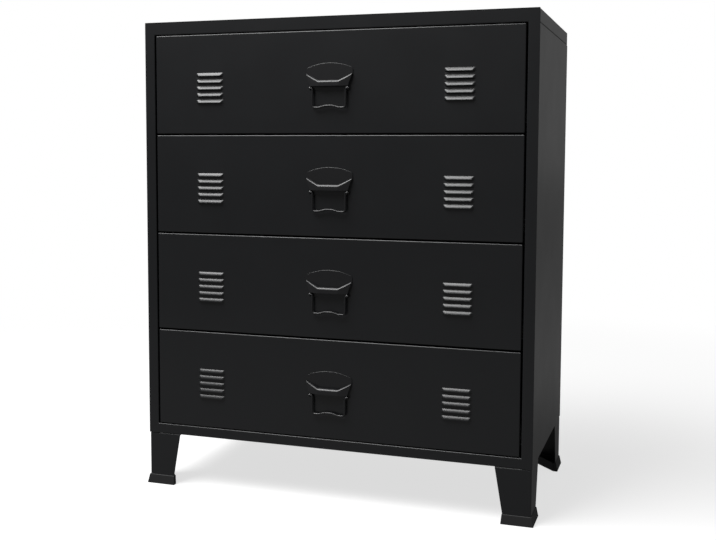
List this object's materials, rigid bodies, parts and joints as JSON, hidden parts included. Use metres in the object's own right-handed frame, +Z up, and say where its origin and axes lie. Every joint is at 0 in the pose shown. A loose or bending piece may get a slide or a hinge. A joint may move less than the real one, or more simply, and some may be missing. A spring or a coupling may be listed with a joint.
{
  "type": "metal drawer cabinet",
  "caption": "Black powder-coated steel chest of drawers in an industrial locker style, with louvred fronts, swinging bail pulls, roller runners and flared feet.",
  "frame": {"origin": "on the floor, under the middle of the body's 780 by 400 mm footprint", "axes": "+X to the right seen from the front, +Y from the front to the back, +Z up"},
  "size_m": [0.788, 0.4165, 0.93],
  "materials": {
    "coat": "satin black powder coat on sheet steel",
    "handle_coat": "satin black powder coat on pressed steel",
    "foot_plastic": "moulded black plastic, fine matt grain",
    "zinc": "bright zinc-plated steel",
    "nylon": "natural white nylon"
  },
  "bodies": {
    "root": {"top_panel": "coat", "side_panel_left": "coat", "side_panel_right": "coat", "back_panel": "coat", "bottom_panel": "coat", "front_frame": "coat", "rear_upright_left": "coat", "rear_upright_right": "coat", "leg_front_left": "coat", "leg_front_right": "coat", "leg_rear_left": "coat", "leg_rear_right": "coat", "foot_front_left": "foot_plastic", "foot_front_right": "foot_plastic", "foot_rear_left": "foot_plastic", "foot_rear_right": "foot_plastic", "panel_screws": "zinc", "leg_bolts": "zinc", "runner_screws": "zinc", "cabinet_runners_1": "zinc", "cabinet_runners_2": "zinc", "cabinet_runners_3": "zinc", "cabinet_runners_4": "zinc"},
    "drawer_1": {"drawer_front_1": "coat", "drawer_tray_1": "coat", "handle_plate_1": "handle_coat", "handle_hood_1": "handle_coat", "drawer_runners_1": "zinc", "drawer_fasteners_1": "zinc"},
    "bail_1": {"handle_bail_1": "handle_coat"},
    "front_rollers_1": {"cabinet_rollers_1": "nylon"},
    "rear_rollers_1": {"drawer_rollers_1": "nylon"},
    "drawer_2": {"drawer_front_2": "coat", "drawer_tray_2": "coat", "handle_plate_2": "handle_coat", "handle_hood_2": "handle_coat", "drawer_runners_2": "zinc", "drawer_fasteners_2": "zinc"},
    "bail_2": {"handle_bail_2": "handle_coat"},
    "front_rollers_2": {"cabinet_rollers_2": "nylon"},
    "rear_rollers_2": {"drawer_rollers_2": "nylon"},
    "drawer_3": {"drawer_front_3": "coat", "drawer_tray_3": "coat", "handle_plate_3": "handle_coat", "handle_hood_3": "handle_coat", "drawer_runners_3": "zinc", "drawer_fasteners_3": "zinc"},
    "bail_3": {"handle_bail_3": "handle_coat"},
    "front_rollers_3": {"cabinet_rollers_3": "nylon"},
    "rear_rollers_3": {"drawer_rollers_3": "nylon"},
    "drawer_4": {"drawer_front_4": "coat", "drawer_tray_4": "coat", "handle_plate_4": "handle_coat", "handle_hood_4": "handle_coat", "drawer_runners_4": "zinc", "drawer_fasteners_4": "zinc"},
    "bail_4": {"handle_bail_4": "handle_coat"},
    "front_rollers_4": {"cabinet_rollers_4": "nylon"},
    "rear_rollers_4": {"drawer_rollers_4": "nylon"}
  },
  "joints": [
    {"name": "drawer_1_slide", "type": "slide", "parent": "root", "child": "drawer_1", "axis": [0, -1, 0], "range_m": [0, 0.25]},
    {"name": "bail_1_swing", "type": "hinge", "parent": "drawer_1", "child": "bail_1", "pos_m": [0, -0.206, 0.7955], "axis": [-1, 0, 0], "range_deg": [-5, 85]},
    {"name": "front_rollers_1_spin", "type": "hinge", "parent": "root", "child": "front_rollers_1", "pos_m": [0, -0.168, 0.7408], "axis": [1, 0, 0], "continuous": true},
    {"name": "rear_rollers_1_spin", "type": "hinge", "parent": "drawer_1", "child": "rear_rollers_1", "pos_m": [0, 0.15, 0.7408], "axis": [1, 0, 0], "continuous": true},
    {"name": "drawer_2_slide", "type": "slide", "parent": "root", "child": "drawer_2", "axis": [0, -1, 0], "range_m": [0, 0.25]},
    {"name": "bail_2_swing", "type": "hinge", "parent": "drawer_2", "child": "bail_2", "pos_m": [0, -0.206, 0.6005], "axis": [-1, 0, 0], "range_deg": [-5, 85]},
    {"name": "front_rollers_2_spin", "type": "hinge", "parent": "root", "child": "front_rollers_2", "pos_m": [0, -0.168, 0.5458], "axis": [1, 0, 0], "continuous": true},
    {"name": "rear_rollers_2_spin", "type": "hinge", "parent": "drawer_2", "child": "rear_rollers_2", "pos_m": [0, 0.15, 0.5458], "axis": [1, 0, 0], "continuous": true},
    {"name": "drawer_3_slide", "type": "slide", "parent": "root", "child": "drawer_3", "axis": [0, -1, 0], "range_m": [0, 0.25]},
    {"name": "bail_3_swing", "type": "hinge", "parent": "drawer_3", "child": "bail_3", "pos_m": [0, -0.206, 0.4055], "axis": [-1, 0, 0], "range_deg": [-5, 85]},
    {"name": "front_rollers_3_spin", "type": "hinge", "parent": "root", "child": "front_rollers_3", "pos_m": [0, -0.168, 0.3508], "axis": [1, 0, 0], "continuous": true},
    {"name": "rear_rollers_3_spin", "type": "hinge", "parent": "drawer_3", "child": "rear_rollers_3", "pos_m": [0, 0.15, 0.3508], "axis": [1, 0, 0], "continuous": true},
    {"name": "drawer_4_slide", "type": "slide", "parent": "root", "child": "drawer_4", "axis": [0, -1, 0], "range_m": [0, 0.25]},
    {"name": "bail_4_swing", "type": "hinge", "parent": "drawer_4", "child": "bail_4", "pos_m": [0, -0.206, 0.2105], "axis": [-1, 0, 0], "range_deg": [-5, 85]},
    {"name": "front_rollers_4_spin", "type": "hinge", "parent": "root", "child": "front_rollers_4", "pos_m": [0, -0.168, 0.1558], "axis": [1, 0, 0], "continuous": true},
    {"name": "rear_rollers_4_spin", "type": "hinge", "parent": "drawer_4", "child": "rear_rollers_4", "pos_m": [0, 0.15, 0.1558], "axis": [1, 0, 0], "continuous": true}
  ],
  "couplings": [
    {"joint": "front_rollers_1_spin", "follows": "drawer_1_slide", "rad_per_m": 111.11},
    {"joint": "rear_rollers_1_spin", "follows": "drawer_1_slide", "rad_per_m": 111.11},
    {"joint": "front_rollers_2_spin", "follows": "drawer_2_slide", "rad_per_m": 111.11},
    {"joint": "rear_rollers_2_spin", "follows": "drawer_2_slide", "rad_per_m": 111.11},
    {"joint": "front_rollers_3_spin", "follows": "drawer_3_slide", "rad_per_m": 111.11},
    {"joint": "rear_rollers_3_spin", "follows": "drawer_3_slide", "rad_per_m": 111.11},
    {"joint": "front_rollers_4_spin", "follows": "drawer_4_slide", "rad_per_m": 111.11},
    {"joint": "rear_rollers_4_spin", "follows": "drawer_4_slide", "rad_per_m": 111.11}
  ]
}
